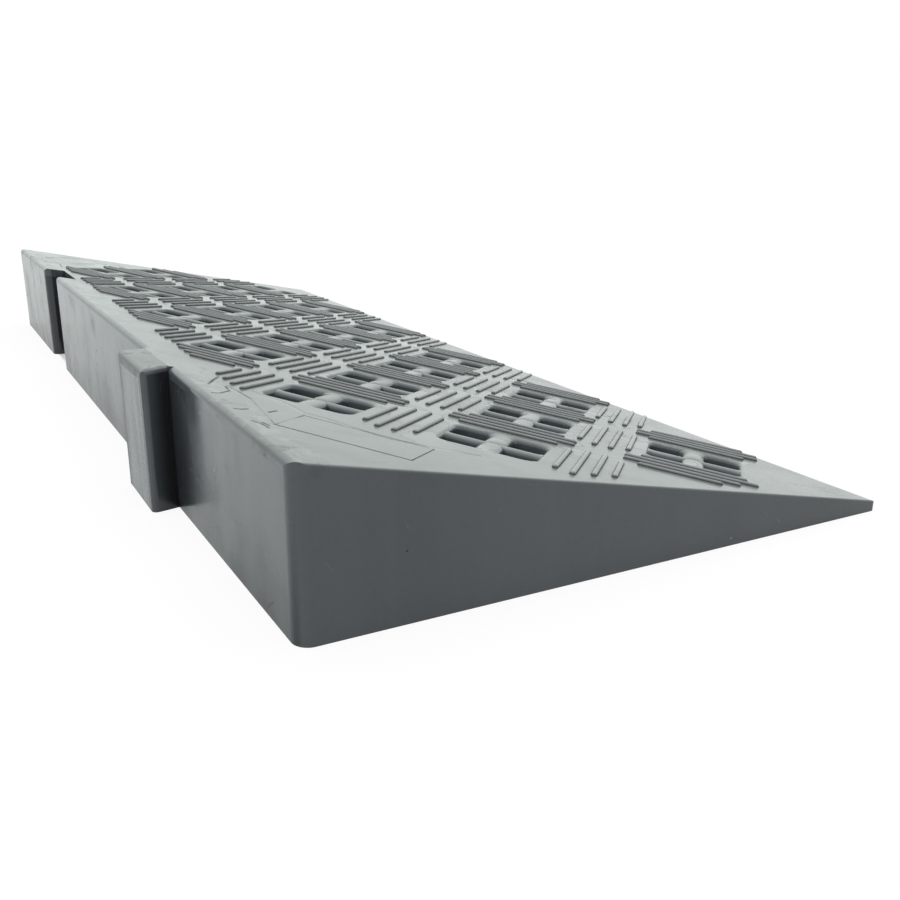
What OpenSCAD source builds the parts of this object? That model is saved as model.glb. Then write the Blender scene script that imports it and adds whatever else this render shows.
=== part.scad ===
// Wedge-shaped kerb ramp: a ribbed plastic moulding with a drained tread,
// a coupling tongue and a socket in its tall back face.
// X runs along the kerb, Y from the front lip to the back face, Z is up.
// The origin is on the ground, below the middle of the ramp and its tongue.

/* [Wedge] */
// Length along the kerb, from end face to end face
ramp_length = 600; // [560:1:640]
// Run from the front lip to the back face
ramp_run = 248; // [236:1:262]
// Height of the back face
ramp_height = 62; // [50:1:75]
// Height of the front lip
lip_height = 4; // [3:0.5:6]
// Radius of the two back corners in plan
back_corner_r = 6; // [3:0.5:10]
// Radius of the two front corners in plan
front_corner_r = 2; // [1:0.5:8]
// Radius of the deck's edge along the tall back face
top_edge_r = 2.4; // [1:0.1:3]
// Radius of the deck's edges along the end faces
end_edge_r = 0.8; // [0.4:0.1:2]
// Radius of the deck's edge along the lip
lip_edge_r = 3; // [1:0.1:3.2]

/* [Walls] */
// Thickness of the deck, square to its surface
deck_thickness = 5; // [4.4:0.1:6]
// Thickness of the end, back, socket and tongue walls
wall_thickness = 4; // [3:0.1:5]
// Thickness of the webs under the deck
web_thickness = 3; // [2:0.1:4]
// Run of the solid toe behind the lip
toe_run = 20; // [17:0.5:22]

/* [Tread pattern] */
// Step of the lattice of pockets and rib groups, along and down the slope
lattice_step = 50.4; // [48:0.1:52]
// How far the lattice lies below the middle of the slope
lattice_drop = 1.2; // [0:0.1:2]
// Bare border below the top edge, before the first rib
top_border = 19; // [14:0.5:24]
// Bare border along the end faces
end_border = 8; // [5:0.5:12]
// Bare border along the lip
lip_border = 4; // [3:0.5:8]
// Diagonal rows of the lattice left bare at each upper corner
upper_bare_rows = 2; // [1:1:3]
// Diagonal rows of the lattice left bare at each lower corner
lower_bare_rows = 1; // [1:1:2]

/* [Tread ribs] */
// Ribs in one group
ribs_per_group = 4; // [3:1:4]
// Distance between the ribs of a group
rib_spacing = 6.6; // [5.5:0.1:7]
// Width of a rib
rib_width = 2.2; // [1.6:0.1:4]
// Length of the outer ribs of a group
outer_rib_length = 40.7; // [36:0.1:44]
// Length of the inner ribs of a group
inner_rib_length = 52.4; // [46:0.1:54]

/* [Pockets] */
// Size of a square drain pocket between its walls
pocket_size = 36.4; // [34:0.1:38]
// Corner radius of a pocket
pocket_corner_r = 5; // [3:0.1:8]
// Radius of the rounded rim of a pocket
rim_r = 2; // [0.5:0.1:2.4]
// Width of the bar that falls to the right, seen from the lip
falling_bar_width = 9.4; // [5:0.1:12]
// Width of the bar that rises to the right
rising_bar_width = 4.8; // [4.6:0.1:8]
// Radius of the upper edges of the bars
bar_edge_r = 2.2; // [1:0.1:2.2]
// How far the falling bars lie below the deck
falling_bar_drop = 0.3; // [0.1:0.1:1]
// How far the rising bars lie below the deck
rising_bar_drop = 0.8; // [0.1:0.1:1.2]

/* [Coupling] */
// Distance from an end face to the middle of the tongue or the socket
coupling_inset = 155.5; // [130:0.5:180]
// Width of the tongue's outer face, before its edges are rounded
tongue_width = 44.4; // [36:0.1:48]
// How far the tongue stands out of the back face
tongue_reach = 12; // [8:0.5:16]
// How much the tongue narrows towards its root, on each side
tongue_undercut = 2; // [0:0.1:3]
// Radius of the tongue's outer and upper edges
tongue_edge_r = 2.4; // [1:0.1:3]
// Room beside the tongue in the socket, on each side
side_clearance = 1.6; // [0.6:0.1:4]
// Room in front of the tongue in the socket
depth_clearance = 1.5; // [0.5:0.1:3]
// Radius of the socket's mouth edges
mouth_r = 5; // [1:0.1:6]

/* [Hidden] */
$fn = 48;
moulding_grey = "#A9AFAD";
rib_grey = "#8F9694";

// The wedge, from the ground and from the origin
half_length = ramp_length / 2;
front_y = -(ramp_run + tongue_reach) / 2;
back_y = front_y + ramp_run;
slope = atan((ramp_height - lip_height) / ramp_run);
slope_length = ramp_run / cos(slope);
deck_drop = deck_thickness / cos(slope);
beyond = 20;

// Heights of the deck's top and underside at a run behind the lip
function deck_z(run) = lip_height + run * tan(slope);
function under_z(run) = deck_z(run) - deck_drop;

// The lattice: a pocket where column plus row is even, bare deck where it is odd
lattice_rows = round(slope_length / lattice_step) - 1;
first_down = slope_length / 2 - (lattice_rows - 1) / 2 * lattice_step + lattice_drop;
last_column = ceil(half_length / lattice_step);
function column_x(i) = i * lattice_step;
function row_down(j) = first_down + j * lattice_step;

// A place on the deck is [x, down]: along the ramp, and down the slope from the top edge
pocket_reach = pocket_size / sqrt(2);
function from_end(place) = half_length - abs(place[0]);
function from_lip(place) = slope_length - place[1];
function in_tread(place) =
    from_end(place) + place[1] > (upper_bare_rows + 0.5) * lattice_step &&
    from_end(place) + from_lip(place) > (lower_bare_rows + 0.5) * lattice_step &&
    min(from_end(place), place[1], from_lip(place)) > end_border;
function holds_pocket(place) =
    in_tread(place) &&
    min(from_end(place), place[1]) > pocket_reach + end_border;

pockets = [
    for (i = [-last_column:last_column], j = [0:lattice_rows - 1])
    let (place = [column_x(i), row_down(j)])
    if ((i + j) % 2 == 0 && holds_pocket(place)) place
];

// Groups of ribs lie half a step beside each pocket place. Falling ribs run
// down to the right, seen from the lip, and rising ribs run up to the right.
falling = -1;
rising = 1;
function group_middles(lean) = [
    for (i = [-last_column - 1:last_column], j = [0:lattice_rows])
    let (place = [column_x(i + 0.5), row_down(j - 0.5)])
    if (abs(i + j) % 2 == (lean == falling ? 0 : 1) && in_tread(place)) place
];

// The stretch [from, to] of a rib along its own direction, ended at the borders
function clipped_rib(x, down, lean, length) =
    let (
        along = 1 / sqrt(2),
        to_top = (down - top_border) / along,
        to_lip = (slope_length - lip_border - down) / along,
        to_left = (x + half_length - end_border) / along,
        to_right = (half_length - end_border - x) / along,
        before = min(length / 2, to_left, lean == falling ? to_top : to_lip),
        after = min(length / 2, to_right, lean == falling ? to_lip : to_top)
    )
    [-before, after];

// Puts its children on the deck: X along the top edge, Y up the slope, Z out of it
module on_deck() {
    translate([0, back_y, ramp_height]) rotate([slope, 0, 0]) children();
}

// What a rounded convex corner loses. u and v point from the corner along its two edges
module corner_loss(corner, u, v, r) {
    middle = u + v;
    half_angle = acos(u * v) / 2;
    reach = r / tan(half_angle);
    centre = corner + middle / norm(middle) * r / sin(half_angle);
    difference() {
        polygon([corner - middle * r, corner + u * reach, centre, corner + v * reach]);
        translate(centre) circle(r);
    }
}

// Extrudes a Y and Z profile along X, between two places
module along_ramp(from_x, to_x) {
    translate([from_x, front_y, 0]) rotate([90, 0, 90]) linear_extrude(to_x - from_x) children();
}

// Plan of the socket: a little wider inside than at its mouth
socket_x = half_length - coupling_inset;
tongue_x = -socket_x;
tongue_root = tongue_width / 2 - tongue_undercut;
socket_depth = tongue_reach + depth_clearance;
mouth_half = tongue_root + side_clearance;
inner_half = mouth_half + tongue_undercut;
module socket_plan(grow = 0) {
    translate([socket_x, back_y]) polygon([
        [-mouth_half - grow, beyond], [-mouth_half - grow, 0],
        [-inner_half - grow, -socket_depth - grow], [inner_half + grow, -socket_depth - grow],
        [mouth_half + grow, 0], [mouth_half + grow, beyond]
    ]);
}

// Plan of the whole wedge, with its rounded corners and the socket's mouth
module plan() {
    wall_lean = [tongue_undercut, socket_depth] / norm([tongue_undercut, socket_depth]);
    difference() {
        translate([-half_length, front_y]) square([ramp_length, ramp_run]);
        for (side = [-1, 1]) {
            corner_loss([side * half_length, back_y], [-side, 0], [0, -1], back_corner_r);
            corner_loss([side * half_length, front_y], [-side, 0], [0, 1], front_corner_r);
            corner_loss([socket_x + side * mouth_half, back_y],
                [side, 0], [side * wall_lean[0], -wall_lean[1]], mouth_r);
        }
        socket_plan();
    }
}

// Keeps its children inside the plan
module within_plan() {
    intersection() {
        children();
        linear_extrude(ramp_height + beyond) plan();
    }
}

// Cross-section of the wedge from one run to another, with its rounded top edges
fall = [-cos(slope), -sin(slope)];
module wedge_profile(from_run, to_run) {
    difference() {
        polygon([[from_run, 0], [to_run, 0], [to_run, deck_z(to_run)], [from_run, deck_z(from_run)]]);
        if (to_run == ramp_run) corner_loss([ramp_run, ramp_height], fall, [0, -1], top_edge_r);
        if (from_run == 0) corner_loss([0, lip_height], -fall, [0, -1], lip_edge_r);
    }
}

// A bar as long as the slope that rounds the deck's edges along the end faces
module end_edge_limit() {
    on_deck() translate([0, beyond, 0]) rotate([90, 0, 0]) linear_extrude(slope_length + 2 * beyond)
        difference() {
            translate([-half_length, -2 * ramp_height]) square([ramp_length, 2 * ramp_height]);
            for (side = [-1, 1]) corner_loss([side * half_length, 0], [-side, 0], [0, -1], end_edge_r);
        }
}

// Space under the deck, between the walls
module under_deck(from_x, to_x, from_run, to_run) {
    along_ramp(from_x, to_x) polygon([
        [from_run, 0], [to_run, 0], [to_run, under_z(to_run)], [from_run, under_z(from_run)]
    ]);
}

// What the rounded rim of a pocket loses beside the wall at wall_x. The rim's curve runs
// out just above the deck's surface, so that it meets the deck at a slight angle
rim_rise = 0.02;
module rim_loss(wall_x) {
    corner_loss([wall_x, rim_rise], [1, 0], [0, -1], rim_r);
}

// The whole opening of a pocket, with its rounded rim. The deck's surface is at Z = 0.
// Two crossing channels make the straight sides, and quarter turns make the corners
module pocket_void() {
    half = pocket_size / 2;
    corner = half - pocket_corner_r;
    foot = -2 * deck_thickness;
    height = 3 * deck_thickness;
    for (turn = [0, 90]) rotate(turn)
        translate([-corner, 0, 0]) rotate([90, 0, 90]) linear_extrude(2 * corner) {
            translate([-half, foot]) square([pocket_size, height]);
            for (side = [0, 1]) mirror([side, 0]) rim_loss(half);
        }
    for (turn = [0:90:270]) rotate(turn)
        translate([corner, corner, 0]) rotate_extrude(angle = 90) {
            translate([0, foot]) square([pocket_corner_r, height]);
            rim_loss(pocket_corner_r);
        }
}

// Puts its children at every pocket, with X along the falling bar
module at_pockets() {
    on_deck() for (place = pockets) translate([place[0], -place[1], 0]) rotate(falling * 45) children();
}

// The deck between the toe and the back face, square at its edge above the tongue's root
module deck_profile(square_edge = false) {
    difference() {
        union() {
            wedge_profile(toe_run, ramp_run);
            if (square_edge) polygon([
                [ramp_run - deck_thickness, deck_z(ramp_run - deck_thickness)], [ramp_run, ramp_height],
                [ramp_run, under_z(ramp_run)]
            ]);
        }
        polygon([
            [toe_run - beyond, under_z(toe_run - beyond)],
            [toe_run - beyond, -beyond], [ramp_run + beyond, -beyond],
            [ramp_run + beyond, under_z(ramp_run + beyond)]
        ]);
    }
}

module deck_plate() {
    color(moulding_grey) difference() {
        intersection() {
            union() {
                along_ramp(-half_length, half_length) deck_profile();
                along_ramp(tongue_x - tongue_root, tongue_x + tongue_root) deck_profile(square_edge = true);
            }
            end_edge_limit();
            linear_extrude(ramp_height + beyond) plan();
        }
        at_pockets() pocket_void();
    }
}

module front_toe() {
    color(moulding_grey) intersection() {
        along_ramp(-half_length, half_length) wedge_profile(0, toe_run);
        end_edge_limit();
        linear_extrude(ramp_height + beyond) plan();
    }
}

// An end wall, on the left or the right seen from the lip
module end_wall(side) {
    inner = half_length - wall_thickness;
    color(moulding_grey) within_plan()
        under_deck(side < 0 ? -half_length : inner, side < 0 ? -inner : half_length, toe_run, ramp_run);
}

module left_end_wall() { end_wall(-1); }
module right_end_wall() { end_wall(1); }

// The back wall stands on both sides of the socket's own wall
socket_side = inner_half + wall_thickness;
module back_wall(from_x, to_x) {
    color(moulding_grey) within_plan() under_deck(from_x, to_x, ramp_run - wall_thickness, ramp_run);
}

module back_wall_long() { back_wall(-half_length + wall_thickness, socket_x - socket_side); }
module back_wall_short() { back_wall(socket_x + socket_side, half_length - wall_thickness); }

module socket_block() {
    depth = socket_depth + wall_thickness;
    under_deck(socket_x - socket_side, socket_x + socket_side, ramp_run - depth, ramp_run);
}

module socket_wall() {
    color(moulding_grey) within_plan() socket_block();
}

// The tongue is a shell, open below, with a slight dovetail
module tongue_plan(inset = 0) {
    outer = tongue_width / 2 - inset;
    root = outer - tongue_undercut;
    lean = [-tongue_undercut, -tongue_reach] / norm([tongue_undercut, tongue_reach]);
    difference() {
        polygon([[-root, 0], [root, 0], [outer, tongue_reach - inset], [-outer, tongue_reach - inset]]);
        if (inset == 0) for (side = [-1, 1])
            corner_loss([side * outer, tongue_reach], [-side, 0], [side * lean[0], lean[1]], tongue_edge_r);
    }
}

// What the tongue's top edge loses, along its outer face and along its two leaning sides
module tongue_top_loss() {
    translate([-tongue_width, 0, 0]) rotate([90, 0, 90]) linear_extrude(2 * tongue_width)
        corner_loss([tongue_reach, ramp_height], [-1, 0], [0, -1], tongue_edge_r);
    for (side = [-1, 1])
        translate([side * tongue_root, 0, 0]) rotate(-side * atan(tongue_undercut / tongue_reach))
            translate([0, 2 * tongue_reach, 0]) rotate([90, 0, 0]) linear_extrude(4 * tongue_reach)
                corner_loss([0, ramp_height], [-side, 0], [0, -1], tongue_edge_r);
}

module coupling_tongue() {
    color(moulding_grey) translate([tongue_x, back_y, 0]) difference() {
        linear_extrude(ramp_height) tongue_plan();
        translate([0, 0, -beyond]) linear_extrude(ramp_height - wall_thickness + beyond)
            tongue_plan(wall_thickness);
        tongue_top_loss();
    }
}

// A bar across a pocket, along X, with straight sides and rounded upper edges
module pocket_bar(width, drop) {
    reach = pocket_size + 2 * rim_r;
    translate([-reach / 2, 0, 0]) rotate([90, 0, 90]) linear_extrude(reach) difference() {
        translate([-width / 2, -deck_thickness]) square([width, deck_thickness - drop]);
        for (side = [-1, 1]) corner_loss([side * width / 2, -drop], [-side, 0], [0, -1], bar_edge_r);
    }
}

module pocket_crosses() {
    color(moulding_grey) at_pockets() intersection() {
        union() {
            pocket_bar(falling_bar_width, falling_bar_drop);
            rotate(90) pocket_bar(rising_bar_width, rising_bar_drop);
        }
        pocket_void();
    }
}

// Half of a round rod with round ends, lying along X on the deck
module tread_rib(length) {
    r = rib_width / 2;
    rotate([90, 0, 0]) rotate([0, 90, 0]) rotate_extrude(angle = 180) intersection() {
        union() {
            translate([0, r]) circle(r);
            translate([0, length - r]) circle(r);
            translate([0, r]) square([r, length - 2 * r]);
        }
        square([rib_width, length]);
    }
}

module tread_ribs(lean) {
    color(rib_grey) on_deck() for (place = group_middles(lean), n = [0:ribs_per_group - 1]) {
        across = (n - (ribs_per_group - 1) / 2) * rib_spacing;
        is_outer = n == 0 || n == ribs_per_group - 1;
        x = place[0] + across / sqrt(2);
        down = place[1] + lean * across / sqrt(2);
        stretch = clipped_rib(x, down, lean, is_outer ? outer_rib_length : inner_rib_length);
        length = stretch[1] - stretch[0];
        if (length > 2 * rib_width)
            translate([x, -down, 0]) rotate(lean * 45) translate([stretch[0], 0, 0]) tread_rib(length);
    }
}

module tread_ribs_falling() { tread_ribs(falling); }
module tread_ribs_rising() { tread_ribs(rising); }

// Webs stand upright under the lattice, through the pockets and between them
web_count = 2 * last_column + lattice_rows;
module web_rows(lean) {
    turn = atan(cos(slope));
    reach = slope_length;
    for (n = [-web_count:web_count])
        translate([column_x(n), back_y - row_down(0) * cos(slope), 0])
            rotate(lean * turn) translate([-2 * reach, -web_thickness / 2, 0])
                cube([4 * reach, web_thickness, ramp_height]);
}

module web_space() {
    difference() {
        under_deck(-half_length + wall_thickness, half_length - wall_thickness,
            toe_run, ramp_run - wall_thickness);
        translate([0, 0, -beyond]) linear_extrude(ramp_height + 2 * beyond)
            translate([socket_x - socket_side, back_y - socket_depth - wall_thickness])
                square([2 * socket_side, socket_depth + wall_thickness]);
    }
}

module webs_falling() {
    color(moulding_grey) intersection() {
        web_space();
        web_rows(falling);
    }
}

module webs_rising() {
    color(moulding_grey) difference() {
        intersection() {
            web_space();
            web_rows(rising);
        }
        web_rows(falling);
    }
}

deck_plate();
front_toe();
left_end_wall();
right_end_wall();
back_wall_long();
back_wall_short();
socket_wall();
coupling_tongue();
pocket_crosses();
tread_ribs_falling();
tread_ribs_rising();
webs_falling();
webs_rising();
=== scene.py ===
# Looks of the kerb ramp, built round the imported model. Lengths are in metres, apart from
# those that a comment gives in mm.
import math

import bpy
from mathutils import Matrix, Vector


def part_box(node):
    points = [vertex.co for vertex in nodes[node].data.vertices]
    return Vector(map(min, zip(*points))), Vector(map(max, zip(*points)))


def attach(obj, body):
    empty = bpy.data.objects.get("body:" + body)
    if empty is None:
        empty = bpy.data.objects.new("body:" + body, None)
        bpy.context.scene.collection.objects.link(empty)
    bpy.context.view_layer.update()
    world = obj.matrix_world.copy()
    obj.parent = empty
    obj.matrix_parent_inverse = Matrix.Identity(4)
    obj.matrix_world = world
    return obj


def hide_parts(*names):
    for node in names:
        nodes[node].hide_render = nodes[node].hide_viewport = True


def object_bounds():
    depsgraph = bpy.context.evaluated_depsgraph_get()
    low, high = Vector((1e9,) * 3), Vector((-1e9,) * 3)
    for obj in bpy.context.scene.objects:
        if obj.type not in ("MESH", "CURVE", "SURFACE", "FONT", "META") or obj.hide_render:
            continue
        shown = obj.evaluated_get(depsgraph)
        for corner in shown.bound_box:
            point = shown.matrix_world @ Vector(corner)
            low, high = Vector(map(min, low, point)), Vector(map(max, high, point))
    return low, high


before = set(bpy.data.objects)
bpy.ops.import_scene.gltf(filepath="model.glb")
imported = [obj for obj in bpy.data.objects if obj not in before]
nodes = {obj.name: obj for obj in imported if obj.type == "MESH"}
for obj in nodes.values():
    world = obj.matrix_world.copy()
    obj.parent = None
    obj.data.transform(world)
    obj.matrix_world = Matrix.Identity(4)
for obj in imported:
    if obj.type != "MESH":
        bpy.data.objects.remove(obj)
cad_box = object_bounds()
MM = 0.001

# Camera, as the photograph was taken
CAMERA_PLACE = (-0.55647, 0.21491, 0.15748)
CAMERA_TURN = (71.443, 2.039, -112.858)
CAMERA_LENS = 40.024
CAMERA_SHIFT_X = 0.1518
CAMERA_NEAREST = 0.01

# Light: white surroundings, which only reflections and the camera see, and the softer
# light that matt surfaces gather: dim from the sides, brighter from behind the tall face
# and brightest from overhead
SIDE_LEVEL = 0.06
OVERHEAD_LEVEL = 2.30
OVERHEAD_FOCUS = 3.0
BEHIND_LEVEL = 0.45
BEHIND_FOCUS = 2.0
LAMP_HEIGHT = 2.0
LAMP_SIZE = 2.4
LAMP_POWER = 3.0
WHITE = (1.0, 1.0, 1.0)
MIRRORED_TINT = (0.93, 1.0, 0.975)

# Floor: a matt grey that the camera and reflections see as nearly white, apart from the
# part below the ramp, where it turns grey this far inside the ramp's outline
FLOOR_GREY = (0.20, 0.20, 0.20)
FLOOR_RADIUS = 60.0
FLOOR_CORNERS = 64
CAMERA_WHITE_SHARE = 0.90
MIRRORED_WHITE_SHARE = 0.50
ALL_GREY_INSIDE = 4 * MM
ALL_WHITE_INSIDE = 2 * MM

# Plastic: linear colours and roughness
DECK_GREY = (0.201, 0.222, 0.213)
# Painted shade: upright faces take the darker grey below, a shaded copy of the plastic's grey, and faces that
# look up take the deck's grey
UPRIGHT_SHADE_GREY = (0.116, 0.135, 0.147)
# Painted shade: the socket's upright faces take this still darker grey
SOCKET_SHADE_GREY = (0.045, 0.053, 0.062)
RIB_GREY = (0.185, 0.197, 0.200)
# Painted shade: the insides of the pockets take this dark grey
POCKET_SHADE_GREY = (0.050, 0.054, 0.064)
# Painted shade: the webs under the deck take this near-black copy of the grey
UNDERSIDE_SHADE_GREY = (0.046, 0.050, 0.058)
DECK_ROUGHNESS = 0.13
WALL_ROUGHNESS = 0.15
SOCKET_ROUGHNESS = 0.17
TONGUE_ROUGHNESS = 0.22
RIB_ROUGHNESS = 0.16
UNDERSIDE_ROUGHNESS = 0.35
IOR = 1.5

# What the marks do, where they are full: the share of the tone that is kept, what is
# added to the tone, the height in mm, and what is added to the roughness
DECK_MARKS = {"pressed": (0.12, 0.0, -0.20, 0.36),
              "soft": (0.70, 0.0, -0.10, 0.0),
              "scuffs": (0.35, 0.0, -0.12, 0.45),
              "blotches": (1.0, 0.26, 0.03, -0.05),
              "rubs": (1.0, -0.24, 0.0, 0.18),
              "skins": (1.0, 0.15, 0.05, -0.07),
              "skin edges": (1.0, -0.16, 0.0, 0.16)}
WALL_MARKS = {"dark specks": (0.20, 0.0, 0.0, 0.0),
              "light specks": (1.0, 1.20, 0.0, 0.0),
              "shade beside tongue": (0.42, 0.0, 0.0, 0.0),
              "streaks": (1.0, 1.0, 0.06, -0.35),
              "smudges": (1.0, 0.10, 0.0, 0.10),
              "foot": (1.0, 0.0, 0.0, 0.26)}
TONGUE_MARKS = {"shade": (0.10, 0.0, 0.0, 0.0),
                "band": (0.72, 0.0, 0.0, 0.14),
                "stains": (0.70, 0.0, 0.0, 0.12),
                "streaks": (1.0, 1.0, 0.0, 0.30),
                "frame line": (1.0, 0.35, 0.10, 0.0)}
# Painted shade: how much darker the back face is made low down
LOW_SHADE_DARKENING = 0.80

# The ramp's own measures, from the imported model
half_length = cad_box[1][0]
top_z = cad_box[1][2]
back_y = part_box("back_wall_long")[1][1]
toe_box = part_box("front_toe")
slope = math.atan2(top_z - toe_box[1][2], back_y - toe_box[1][1])
deck_normal = (0.0, -math.sin(slope), math.cos(slope))
tongue_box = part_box("coupling_tongue")
tongue_x = (tongue_box[0][0] + tongue_box[1][0]) / 2
tongue_half = (tongue_box[1][0] - tongue_box[0][0]) / 2

# The blank square-cornered outline pressed into each upper corner of the deck, and the two
# parting lines beside it. Their points are [from the end face, down from the top edge], in mm
OUTLINE_LOWER_EDGE = ((46.7, 13.4), (12.0, 47.7))
OUTLINE_SHORT_EDGE = ((12.0, 47.7), (29.1, 66.1))
OUTLINE_FAINT_EDGES = ((29.1, 66.1), (64.6, 31.6), (46.7, 13.4))
THIN_LINE = ((107.5, 16.4), (86.6, 18.6), (46.7, 13.4))
SOFT_LINE = ((99.9, 24.9), (92.0, 28.8), (82.1, 32.3), (69.1, 33.9), (63.5, 39.5), (52.6, 45.4),
             (40.1, 53.2), (31.4, 67.2), (24.9, 82.2))

# Scuffs along the top edge at the left end, in the same measures
SCUFFS = (((105.8, 8.3), (114.5, 12.8), (122.7, 17.5)), ((66.1, 5.5), (65.8, 7.9), (67.3, 10.9)),
          ((89.9, 4.7), (90.4, 8.0), (96.6, 13.9), (104.3, 14.7)), ((64.7, 17.9), (68.3, 22.4)),
          ((49.5, 6.2), (46.0, 8.3), (41.0, 8.9)), ((47.8, 9.4), (44.6, 10.4)))

# Half widths of these lines, in mm, and the strength of the faint ones beside the sharp ones
LOWER_EDGE_HALF = 0.80
SHORT_EDGE_HALF = 0.45
FAINT_EDGE_HALF = 0.60
SOFT_LINE_HALF = 1.5
SCUFF_HALF = 0.90
FAINT_STRENGTH = 0.8

# Single specks on the walls: place and radius, in mm
DARK_SPECKS = ((-300.0, 79.8, 26.0, 0.6),)
LIGHT_SPECKS = ((-300.0, 71.3, 48.7, 0.7), (-300.0, -55.5, 3.0, 0.7), (-207.9, 118.0, 53.2, 0.9),
                (-221.2, 118.0, 34.7, 0.9))

# The crosses in the drain pockets, in mm: the lattice that they lie on, the reach within which
# the solids have a point where there is a cross, and the bars' common measures
LATTICE_STEP = 50.4
FIRST_DOWN = 52.95
COLUMNS = range(-6, 7)
ROWS = range(5)
CROSS_REACH = 6
POCKET_HALF = 18.2
BAR_HALF_LENGTH = 19.6
BAR_FOOT = -4.95
WAIST_REACH = 5.5
FLARE_START = POCKET_HALF - 2.4
FLARE_LENGTH = 2.5
FLARE_WIDTH = 2.0
FLARE_RISE = 0.15

# Each bar: half width, top below the deck and height of the crown, in mm, then the share of the
# width that its waist has where the bars cross, and the dip of its top there, in mm
FALLING_BAR = (4.7, 0.25, 2.6, 0.72, 0.75)
RISING_BAR = (2.4, 0.75, 2.3, 1.0, 0.0)

# The bars' mesh: stations along a bar, steps over its crown, and the exponents that make the
# crown fuller than half an ellipse
BAR_STATIONS = 56
CROWN_STEPS = 14
CROWN_SIDE_EXPONENT = 0.7
CROWN_TOP_EXPONENT = 0.8
SHARP_ANGLE = 50

# A Mix node's inputs for its share and its two colours, and its output for the colour
MIX_INPUTS = (0, 6, 7)
MIX_OUTPUT = 2


class Tree:
    """A node tree that is filled one call at a time."""

    def __init__(self, owner):
        owner.use_nodes = True
        self.tree = owner.node_tree
        self.tree.nodes.clear()

    def add(self, kind, settings=None, **inputs):
        """A new node. An input's name is written with _ for each space."""
        node = self.tree.nodes.new(kind)
        for name, value in (settings or {}).items():
            setattr(node, name, value)
        for name, value in inputs.items():
            self.feed(node, name.replace("_", " "), value)
        return node

    def feed(self, node, name, value):
        """Links an input to a socket, or sets it to a value."""
        socket = node.inputs[name]
        if isinstance(value, bpy.types.NodeSocket):
            self.tree.links.new(value, socket)
        else:
            socket.default_value = value

    def math(self, operation, a, b=0.0):
        node = self.add("ShaderNodeMath", {"operation": operation})
        self.feed(node, 0, a)
        self.feed(node, 1, b)
        return node.outputs[0]

    def chain(self, operation, values):
        result = values[0]
        for value in values[1:]:
            result = self.math(operation, result, value)
        return result

    def total(self, *values):
        return self.chain("ADD", values)

    def product(self, *values):
        return self.chain("MULTIPLY", values)

    def greatest(self, *values):
        return self.chain("MAXIMUM", values)

    def least(self, *values):
        return self.chain("MINIMUM", values)

    def opposite(self, value):
        return self.math("SUBTRACT", 1.0, value)

    def gap(self, value, level):
        return self.math("ABSOLUTE", self.math("SUBTRACT", value, level))

    def split(self, vector):
        node = self.add("ShaderNodeSeparateXYZ", Vector=vector)
        return node.outputs["X"], node.outputs["Y"], node.outputs["Z"]

    def vector(self, operation, a, b):
        """A vector operation. The result is a number for products and distances."""
        node = self.add("ShaderNodeVectorMath", {"operation": operation})
        self.feed(node, 0, a)
        self.feed(node, "Scale" if operation == "SCALE" else 1, b)
        return node.outputs["Value" if operation in ("DOT_PRODUCT", "DISTANCE") else "Vector"]

    def ramp(self, value, low, high, to_low=0.0, to_high=1.0):
        """to_low at low, to_high at high, and a smooth change between them."""
        node = self.add("ShaderNodeMapRange", {"interpolation_type": "SMOOTHSTEP"})
        for index, number in enumerate((value, low, high, to_low, to_high)):
            self.feed(node, index, number)
        return node.outputs[0]

    def swing(self, value, low, high, amount):
        """-amount at low, amount at high, and a smooth change between them."""
        return self.ramp(value, low, high, -amount, amount)

    def near(self, value, level, width):
        """1 where the value is at the level, falling to 0 at width from it."""
        return self.ramp(self.gap(value, level), 0.0, width, 1.0, 0.0)

    def kept(self, mark, share):
        """A factor that is 1 without the mark and the share where the mark is full."""
        return self.ramp(mark, 0.0, 1.0, 1.0, share)

    def mix(self, share, a, b):
        """Colour a where share is 0 and colour b where it is 1."""
        node = self.add("ShaderNodeMix", {"data_type": "RGBA"})
        for index, value in zip(MIX_INPUTS, (share, a, b)):
            self.feed(node, index, (*value, 1.0) if isinstance(value, tuple) else value)
        return node.outputs[MIX_OUTPUT]

    def seen_rays(self):
        """1 where the camera looks, where a reflection or a view through something does, and
        where either does. All are 0 where a matt surface gathers light."""
        path = self.add("ShaderNodeLightPath")
        mirrored = self.greatest(path.outputs["Is Glossy Ray"], path.outputs["Is Transmission Ray"])
        to_camera = path.outputs["Is Camera Ray"]
        return to_camera, mirrored, self.greatest(to_camera, mirrored)


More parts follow.
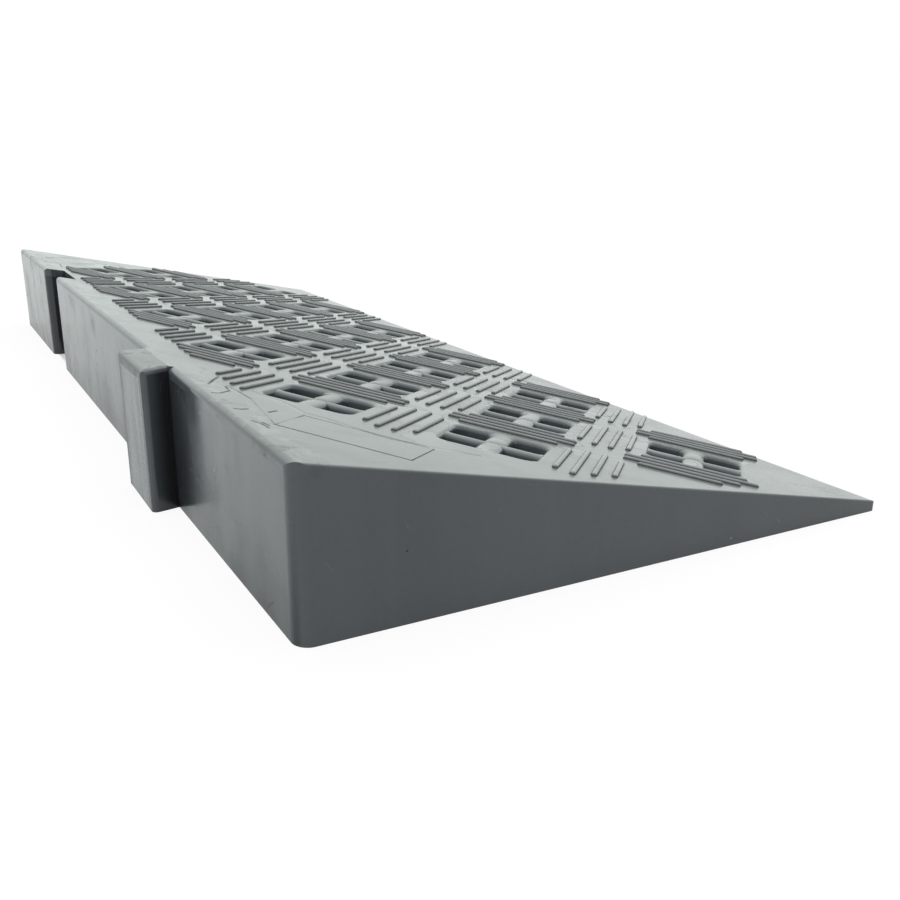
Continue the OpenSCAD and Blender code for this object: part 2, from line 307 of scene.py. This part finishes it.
class PlasticTree(Tree):
    """A plastic's node tree, with the place on the object, the normal there, and level, which
    is 1 on faces that look up and 0 on upright ones."""

    def __init__(self, material):
        super().__init__(material)
        coordinates = self.add("ShaderNodeTexCoord")
        self.place = coordinates.outputs["Object"]
        self.normal = coordinates.outputs["Normal"]
        self.level = self.ramp(self.split(self.normal)[2], 0.5, 0.9)

    def noise(self, scale, detail=2.0, roughness=0.5, warp=0.0):
        """Noise of that scale per metre. A pair is the scales across and up, for upright streaks."""
        place = self.place
        if isinstance(scale, tuple):
            across, up = scale
            place, scale = self.vector("MULTIPLY", place, (across, across, up)), 1.0
        node = self.add("ShaderNodeTexNoise", {"noise_dimensions": "3D"}, Vector=place,
                        Scale=scale, Detail=detail, Roughness=roughness, Distortion=warp)
        return node.outputs["Fac"]

    def openness(self):
        """1 on open faces and less in narrow corners."""
        return self.add("ShaderNodeAmbientOcclusion", {"samples": 8}, Distance=2.0 * MM).outputs["AO"]

    def effect(self, marks, table):
        """What the marks do together: the tone's factor, and what is added to the tone, the
        height and the roughness."""
        factor, added, height, dull = 1.0, 0.0, 0.0, 0.0
        for name, (share, tone, rise, rough) in table.items():
            if share != 1.0:
                factor = self.product(factor, self.kept(marks[name], share))
            if tone:
                added = self.total(added, self.product(marks[name], tone))
            if rise:
                height = self.total(height, self.product(marks[name], rise))
            if rough:
                dull = self.total(dull, self.product(marks[name], rough))
        return factor, added, height, dull


def make_camera():
    camera = bpy.data.objects.new("camera", bpy.data.cameras.new("camera"))
    camera.location = CAMERA_PLACE
    camera.rotation_euler = [math.radians(a) for a in CAMERA_TURN]
    camera.data.lens = CAMERA_LENS
    camera.data.shift_x = CAMERA_SHIFT_X
    camera.data.clip_start = CAMERA_NEAREST
    bpy.context.scene.collection.objects.link(camera)
    bpy.context.scene.camera = camera


def make_world():
    world = bpy.data.worlds.new("surroundings")
    bpy.context.scene.world = world
    t = Tree(world)
    _, y, z = t.split(t.add("ShaderNodeTexCoord").outputs["Generated"])
    overhead = t.math("POWER", t.greatest(z, 0.0), OVERHEAD_FOCUS)
    behind = t.math("POWER", t.greatest(y, 0.0), BEHIND_FOCUS)
    gathered = t.total(t.product(overhead, OVERHEAD_LEVEL), t.product(behind, BEHIND_LEVEL), SIDE_LEVEL)
    _, mirrored, seen = t.seen_rays()
    level = t.total(seen, t.product(t.opposite(seen), gathered))
    sky = t.add("ShaderNodeBackground", Color=t.mix(mirrored, WHITE, MIRRORED_TINT), Strength=level)
    t.add("ShaderNodeOutputWorld", Surface=sky.outputs[0])


def make_floor():
    bpy.ops.mesh.primitive_circle_add(vertices=FLOOR_CORNERS, radius=FLOOR_RADIUS, fill_type="NGON")
    floor = bpy.context.object
    floor.name = "floor"
    material = bpy.data.materials.new("floor")
    t = Tree(material)
    to_camera, mirrored, seen = t.seen_rays()
    matt = t.add("ShaderNodeBsdfDiffuse", Color=t.mix(seen, FLOOR_GREY, WHITE))
    white = t.add("ShaderNodeEmission", Color=t.mix(mirrored, WHITE, MIRRORED_TINT), Strength=1.0)
    x, y, _ = t.split(t.add("ShaderNodeTexCoord").outputs["Object"])
    middle_y = (back_y + cad_box[0][1]) / 2
    past_outline = t.greatest(t.math("SUBTRACT", t.gap(x, 0.0), half_length),
                              t.math("SUBTRACT", t.gap(y, middle_y), back_y - middle_y))
    share = t.total(t.product(to_camera, CAMERA_WHITE_SHARE), t.product(mirrored, MIRRORED_WHITE_SHARE))
    share = t.product(share, t.ramp(past_outline, -ALL_GREY_INSIDE, -ALL_WHITE_INSIDE))
    both = t.add("ShaderNodeMixShader")
    for index, value in enumerate((share, matt.outputs[0], white.outputs[0])):
        t.feed(both, index, value)
    t.add("ShaderNodeOutputMaterial", Surface=both.outputs[0])
    floor.data.materials.append(material)


def make_lamp():
    data = bpy.data.lights.new("lamp", "AREA")
    data.size = LAMP_SIZE
    data.energy = LAMP_POWER
    lamp = bpy.data.objects.new("lamp", data)
    lamp.location = (0.0, 0.0, LAMP_HEIGHT)
    bpy.context.scene.collection.objects.link(lamp)


def bar_ring(half_width, top, crown):
    """Cross-section of a bar: up one side, over the crowned top and down the other side."""
    ring = [(-half_width, BAR_FOOT)]
    for step in range(CROWN_STEPS + 1):
        turn = math.pi * step / CROWN_STEPS
        across = -math.copysign(abs(math.cos(turn)) ** CROWN_SIDE_EXPONENT, math.cos(turn))
        ring.append((across * half_width, top - crown + crown * math.sin(turn) ** CROWN_TOP_EXPONENT))
    return ring + [(half_width, BAR_FOOT)]


def bar_mesh(measures):
    """A closed bar along X: crowned, drawn in where the bars cross, and flared into the pocket's wall."""
    half_width, drop, crown, waist, dip = measures
    points, faces = [], []
    for step in range(BAR_STATIONS + 1):
        x = BAR_HALF_LENGTH * (2 * step / BAR_STATIONS - 1)
        away = min(abs(x) / WAIST_REACH, 1.0)
        swell = math.sqrt(1 - (1 - away) ** 2)
        near_wall = min(max(abs(x) - FLARE_START, 0.0) / FLARE_LENGTH, 1.0)
        flare = FLARE_WIDTH * (1 - math.sqrt(1 - near_wall ** 2))
        top = -drop - dip * (1 - swell) + FLARE_RISE * near_wall ** 2
        ring = bar_ring(half_width * (waist + (1 - waist) * swell) + flare, top, crown)
        points += [(x, y, z) for y, z in ring]
    count = len(ring)
    for step in range(BAR_STATIONS):
        for n in range(count):
            a, b = step * count + n, step * count + (n + 1) % count
            faces.append((a, a + count, b + count, b))
    last = BAR_STATIONS * count
    faces += [tuple(range(count)), tuple(reversed(range(last, last + count)))]
    return points, faces


def make_pocket_bars(material):
    """The crosses: the narrow bar runs through, and the wide one is drawn in beside it."""
    on_deck = Matrix.Translation((0, back_y, top_z)) @ Matrix.Rotation(slope, 4, "X")
    cad_points = [v.co for v in nodes["pocket_crosses"].data.vertices]
    points, faces = [], []
    for column in COLUMNS:
        for row in ROWS:
            down = FIRST_DOWN + row * LATTICE_STEP
            at = on_deck @ Matrix.Translation((column * LATTICE_STEP * MM, -down * MM, 0))
            if not any((point - at.translation).length < CROSS_REACH * MM for point in cad_points):
                continue
            for measures, turn in ((FALLING_BAR, -45), (RISING_BAR, 45)):
                place = at @ Matrix.Rotation(math.radians(turn), 4, "Z") @ Matrix.Scale(MM, 4)
                bar_points, bar_faces = bar_mesh(measures)
                faces += [tuple(n + len(points) for n in face) for face in bar_faces]
                points += [place @ Vector(point) for point in bar_points]
    mesh = bpy.data.meshes.new("pocket_bars")
    mesh.from_pydata(points, [], faces)
    mesh.shade_smooth()
    mesh.set_sharp_from_angle(angle=math.radians(SHARP_ANGLE))
    bars = bpy.data.objects.new("pocket_bars", mesh)
    bpy.context.scene.collection.objects.link(bars)
    mesh.materials.append(material)
    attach(bars, "root")
    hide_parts("pocket_crosses")


def specks(t, per_metre, size, share, seed):
    """Sparse round specks: 1 inside a speck. share is the part of the cells that hold one."""
    shifted = t.vector("ADD", t.place, (seed, 2 * seed, 3 * seed))
    cells = t.add("ShaderNodeTexVoronoi", Vector=shifted, Scale=per_metre)
    reach = size * per_metre
    spot = t.ramp(cells.outputs["Distance"], 0.6 * reach, reach, 1.0, 0.0)
    pick = t.add("ShaderNodeSeparateColor", Color=cells.outputs["Color"]).outputs[0]
    return t.product(spot, t.math("LESS_THAN", pick, share))


def single_specks(t, spots):
    """1 in each of the spots, which are places and radii in mm."""
    marks = []
    for x, y, z, radius in spots:
        gap = t.vector("DISTANCE", t.place, (x * MM, y * MM, z * MM))
        marks.append(t.ramp(gap, 0.5 * radius * MM, radius * MM, 1.0, 0.0))
    return t.greatest(*marks)


def scratches(t, scale, width, share):
    """Short curved hairlines, which follow a level line of a noise and break off."""
    course = t.noise(scale, detail=1.0, roughness=0.4, warp=0.6)
    breaks = t.noise(1.7 * scale, roughness=0.6)
    return t.product(t.near(course, 0.5, width), t.ramp(breaks, 1.0 - share, 1.06 - share))


def line_mark(t, spot, points, half_width):
    """1 on the open line through the points, falling to 0 at half_width beside it, all in mm."""
    gaps = []
    for start, end in zip(points, points[1:]):
        run_x, run_y = [(b - a) * MM for a, b in zip(start, end)]
        squared = run_x ** 2 + run_y ** 2
        offset = t.vector("SUBTRACT", spot, (start[0] * MM, start[1] * MM, 0.0))
        along = t.vector("DOT_PRODUCT", offset, (run_x / squared, run_y / squared, 0.0))
        nearest = t.vector("SCALE", (run_x, run_y, 0.0), t.add("ShaderNodeClamp", Value=along).outputs[0])
        gaps.append(t.vector("DISTANCE", offset, nearest))
    return t.ramp(t.least(*gaps), 0.2 * half_width * MM, half_width * MM, 1.0, 0.0)


def line_marks(t, spot, lines, half_width):
    """The strongest of the marks of several lines."""
    return t.greatest(*(line_mark(t, spot, points, half_width) for points in lines))


def deck_marks(t):
    """Outline, parting lines, flow patches and scuffs on the deck, and the painted shade in its pockets and
    narrow corners.
    """
    x, y, _ = t.split(t.place)
    from_end = t.math("SUBTRACT", half_length, t.gap(x, 0.0))
    down = t.product(t.math("SUBTRACT", back_y, y), 1.0 / math.cos(slope))
    spot = t.add("ShaderNodeCombineXYZ", X=from_end, Y=down).outputs[0]
    fading = t.ramp(t.noise(60.0, detail=1.0), 0.35, 0.60, 0.35, 1.0)
    sharp = t.greatest(line_mark(t, spot, OUTLINE_LOWER_EDGE, LOWER_EDGE_HALF),
                       line_mark(t, spot, OUTLINE_SHORT_EDGE, SHORT_EDGE_HALF))
    faint = t.product(line_marks(t, spot, (OUTLINE_FAINT_EDGES, THIN_LINE), FAINT_EDGE_HALF),
                      fading, FAINT_STRENGTH)
    left_end = t.math("LESS_THAN", x, 0.0)
    breaks = t.ramp(t.noise(170.0, detail=3.0), 0.30, 0.50, 0.25, 1.0)

    edge_band = t.product(t.ramp(down, 9 * MM, 19 * MM, 1.0, 0.0),
                          t.ramp(from_end, 100 * MM, 135 * MM, 1.0, 0.35))
    blotch = t.ramp(t.noise(120.0, detail=4.0, roughness=0.6, warp=1.0), 0.50, 0.58)
    rub = t.ramp(t.noise(75.0, detail=5.0, roughness=0.7, warp=0.8), 0.5, 0.7)
    tread = t.product(t.ramp(down, 40 * MM, 55 * MM), t.ramp(from_end, 20 * MM, 45 * MM), t.level)
    skin = t.noise(44.0, detail=0.6, roughness=0.45, warp=0.9)
    # The pressed outline and the soft line are sunk by the bump, and their darkening is painted shade in the
    # groove and along the step
    marks = {"pressed": t.product(t.greatest(sharp, faint), t.level),
             "soft": t.product(line_mark(t, spot, SOFT_LINE, SOFT_LINE_HALF), fading),
             "scuffs": t.product(line_marks(t, spot, SCUFFS, SCUFF_HALF), left_end, breaks),
             "blotches": t.product(blotch, edge_band, t.level),
             "rubs": t.product(rub, edge_band),
             # Partly painted sheen: the flow skins are glossier, and their tone is also raised where that
             # gloss makes them look lighter
             "skins": t.product(t.ramp(skin, 0.50, 0.53), tread),
             "skin edges": t.product(t.near(skin, 0.50, 0.012), tread)}

    above = t.vector("DOT_PRODUCT", t.vector("SUBTRACT", t.place, (0.0, back_y, top_z)), deck_normal)
    off_the_edges = t.ramp(t.least(from_end, down), 7 * MM, 8 * MM)
    # Painted shade: from just below the deck's top downwards, the pockets take the dark pocket grey
    pocket = t.product(t.ramp(above, -6.5 * MM, -0.7 * MM, 1.0, 0.0), off_the_edges)
    openness = t.openness()
    factor, added, height, dull = t.effect(marks, DECK_MARKS)
    # Painted shade: the deck's colour is darker in narrow corners, at the ribs' feet and beside the bars,
    # where ambient occlusion finds them
    factor = t.product(factor, t.ramp(openness, 0.50, 0.95, 0.30, 1.0))
    dull = t.total(dull, t.ramp(openness, 0.50, 0.95, 0.45, 0.0))
    return factor, added, height, dull, pocket


def wall_marks(t):
    """Upright streaks, smudges, single specks, and painted shade beside the tongue and low on the back."""
    x, _, z = t.split(t.place)
    back = t.ramp(t.split(t.normal)[1], 0.6, 0.9)
    beside = t.math("SUBTRACT", t.gap(x, tongue_x), tongue_half)
    uneven = t.product(t.noise((260.0, 9.0)), 20 * MM)
    smudge = t.ramp(t.noise(55.0, detail=3.0, roughness=0.6), 0.52, 0.70)
    marks = {"dark specks": single_specks(t, DARK_SPECKS),
             "light specks": single_specks(t, LIGHT_SPECKS),
             # Painted shade: the back face is darker beside the tongue, and darker towards its bottom, most
             # at the left end
             "shade beside tongue": t.product(t.ramp(t.math("SUBTRACT", beside, uneven), -2 * MM, 22 * MM, 1.0, 0.0), back),
             "streaks": t.product(t.swing(t.noise((62.0, 4.0), detail=3.0), 0.3, 0.7, 0.08), back),
             "smudges": t.product(smudge, t.ramp(z, 35 * MM, 60 * MM)),
             "foot": t.product(t.ramp(z, -15 * MM, 58 * MM, 1.0, 0.0),
                               t.ramp(x, -300 * MM, -140 * MM, 1.0, 0.4), back)}
    factor, added, height, dull = t.effect(marks, WALL_MARKS)
    # Painted shade: darker towards the bottom of the back face
    factor = t.product(factor, t.opposite(t.product(marks["foot"], LOW_SHADE_DARKENING)))
    return factor, added, height, dull, None


def tongue_marks(t):
    """The tongue's shaded sides, the rubbed band round its outer face and the marks on it."""
    x, y, z = t.split(t.place)
    side = t.ramp(t.gap(t.split(t.normal)[0], 0.0), 0.5, 0.9)
    front = t.ramp(t.split(t.normal)[1], 0.7, 0.95)
    out = t.math("SUBTRACT", y, back_y)
    from_side = t.math("SUBTRACT", tongue_half, t.gap(x, tongue_x))
    from_top = t.math("SUBTRACT", top_z, z)
    wave = t.product(t.noise(90.0, detail=3.0), 2.5 * MM)
    border = t.math("SUBTRACT", t.least(from_side, from_top), wave)
    marks = {"shade": t.product(side, t.ramp(out, 0.0, 13 * MM, 1.0, 0.15)),
             "band": t.product(t.ramp(border, 3.0 * MM, 3.8 * MM, 1.0, 0.0), front),
             "stains": t.product(t.ramp(t.noise(230.0), 0.60, 0.68), t.level),
             "streaks": t.product(t.swing(t.noise((180.0, 8.0), detail=3.0), 0.3, 0.7, 0.20), front),
             "frame line": t.product(t.near(border, 4.0 * MM, 0.6 * MM), front)}
    return *t.effect(marks, TONGUE_MARKS), None


def rib_painted_light_and_shade(t):
    """Painted light and shade: the ribs' tops lighter and their flanks darker, and darker still in narrow
    corners at their feet.
    """
    across = t.vector("DOT_PRODUCT", t.normal, deck_normal)
    openness = t.openness()
    factor = t.product(t.ramp(across, 0.25, 0.92, 0.40, 1.22), t.ramp(openness, 0.40, 0.95, 0.35, 1.0))
    dull = t.greatest(t.ramp(across, 0.35, 0.92, 0.40, 0.0), t.ramp(openness, 0.40, 0.95, 0.45, 0.0))
    return factor, 0.0, 0.0, dull, None


def no_marks(t):
    return 1.0, 0.0, 0.0, 0.0, None


def moulded_plastic(name, deck_colour, upright_shade_colour, roughness, find_marks=no_marks):
    """Moulded grey plastic: cloudy tone, flow bands on upright faces, grain, specks and wear, and
    the marks that find_marks returns: the tone's factor, what is added to the tone, the height
    and the roughness, and where the painted shade of the pockets goes. Upright faces get a
    darker, painted-shade copy of the grey that faces which look up get."""
    material = bpy.data.materials.new(name)
    t = PlasticTree(material)
    factor, added, raised, dull, painted_pocket_shade = find_marks(t)

    clouds = t.swing(t.noise(9.0, detail=3.0), 0.3, 0.7, 0.05)
    patches = t.swing(t.noise(45.0, warp=1.5), 0.35, 0.65, 0.05)
    bands = t.swing(t.noise((34.0, 3.0), detail=3.0), 0.35, 0.65, 0.05)
    fine = t.swing(t.noise(420.0, detail=3.0), 0.3, 0.7, 0.02)
    dark_specks = specks(t, per_metre=28.0, size=0.5 * MM, share=0.10, seed=1.0)
    light_specks = specks(t, per_metre=36.0, size=0.4 * MM, share=0.10, seed=5.0)
    wear = scratches(t, scale=38.0, width=0.012, share=0.42)
    tone = t.total(1.0, clouds, fine, t.product(patches, t.level), t.product(bands, t.opposite(t.level)))
    tone = t.product(tone, t.kept(dark_specks, 0.35))
    tone = t.total(tone, t.product(light_specks, 0.9), t.product(wear, 0.12), added)
    tone = t.product(tone, factor)
    # Painted shade: upright faces get the darker, shaded copy of the grey, and faces that look up get the
    # lighter one
    colour = t.mix(t.level, upright_shade_colour, deck_colour)
    # Painted shade: the insides of the pockets take the dark pocket grey
    if painted_pocket_shade is not None:
        colour = t.mix(painted_pocket_shade, colour, POCKET_SHADE_GREY)

    shine = t.total(t.swing(t.noise(55.0, detail=3.0), 0.3, 0.7, 0.04), roughness, t.product(wear, 0.15),
                    t.product(t.level, 0.04), dull)
    grain = t.total(t.product(t.noise(900.0), 0.001), t.product(t.noise(110.0), 0.010))
    height = t.total(grain, t.product(wear, -0.02), raised)
    bump = t.add("ShaderNodeBump", Strength=1.0, Distance=MM, Height=height)
    shader = t.add("ShaderNodeBsdfPrincipled", Base_Color=t.vector("SCALE", colour, tone),
                   Roughness=shine, IOR=IOR, Normal=bump.outputs[0])
    t.add("ShaderNodeOutputMaterial", Surface=shader.outputs[0])
    return material


def dress(material, *names):
    for name in names:
        for slot in nodes[name].material_slots:
            slot.material = material


make_camera()
make_world()
make_floor()
make_lamp()

deck_look = moulded_plastic("deck_plastic_look", DECK_GREY, UPRIGHT_SHADE_GREY, DECK_ROUGHNESS, deck_marks)
dress(deck_look, "deck_plate", "pocket_crosses")
make_pocket_bars(deck_look)
dress(moulded_plastic("wall_plastic_look", DECK_GREY, UPRIGHT_SHADE_GREY, WALL_ROUGHNESS, wall_marks),
      "front_toe", "left_end_wall", "right_end_wall", "back_wall_long", "back_wall_short")
# Painted shade: the socket's upright faces are coloured darker than the other walls
dress(moulded_plastic("socket_plastic_look", DECK_GREY, SOCKET_SHADE_GREY, SOCKET_ROUGHNESS, wall_marks),
      "socket_wall")
dress(moulded_plastic("tongue_plastic_look", DECK_GREY, UPRIGHT_SHADE_GREY, TONGUE_ROUGHNESS, tongue_marks),
      "coupling_tongue")
dress(moulded_plastic("rib_plastic_look", RIB_GREY, RIB_GREY, RIB_ROUGHNESS, rib_painted_light_and_shade),
      "tread_ribs_falling", "tread_ribs_rising")
# Painted shade: the webs under the deck are coloured near-black
dress(moulded_plastic("underside_plastic_look", UNDERSIDE_SHADE_GREY, UNDERSIDE_SHADE_GREY, UNDERSIDE_ROUGHNESS),
      "webs_falling", "webs_rising")

bpy.context.scene.view_settings.view_transform = "Standard"
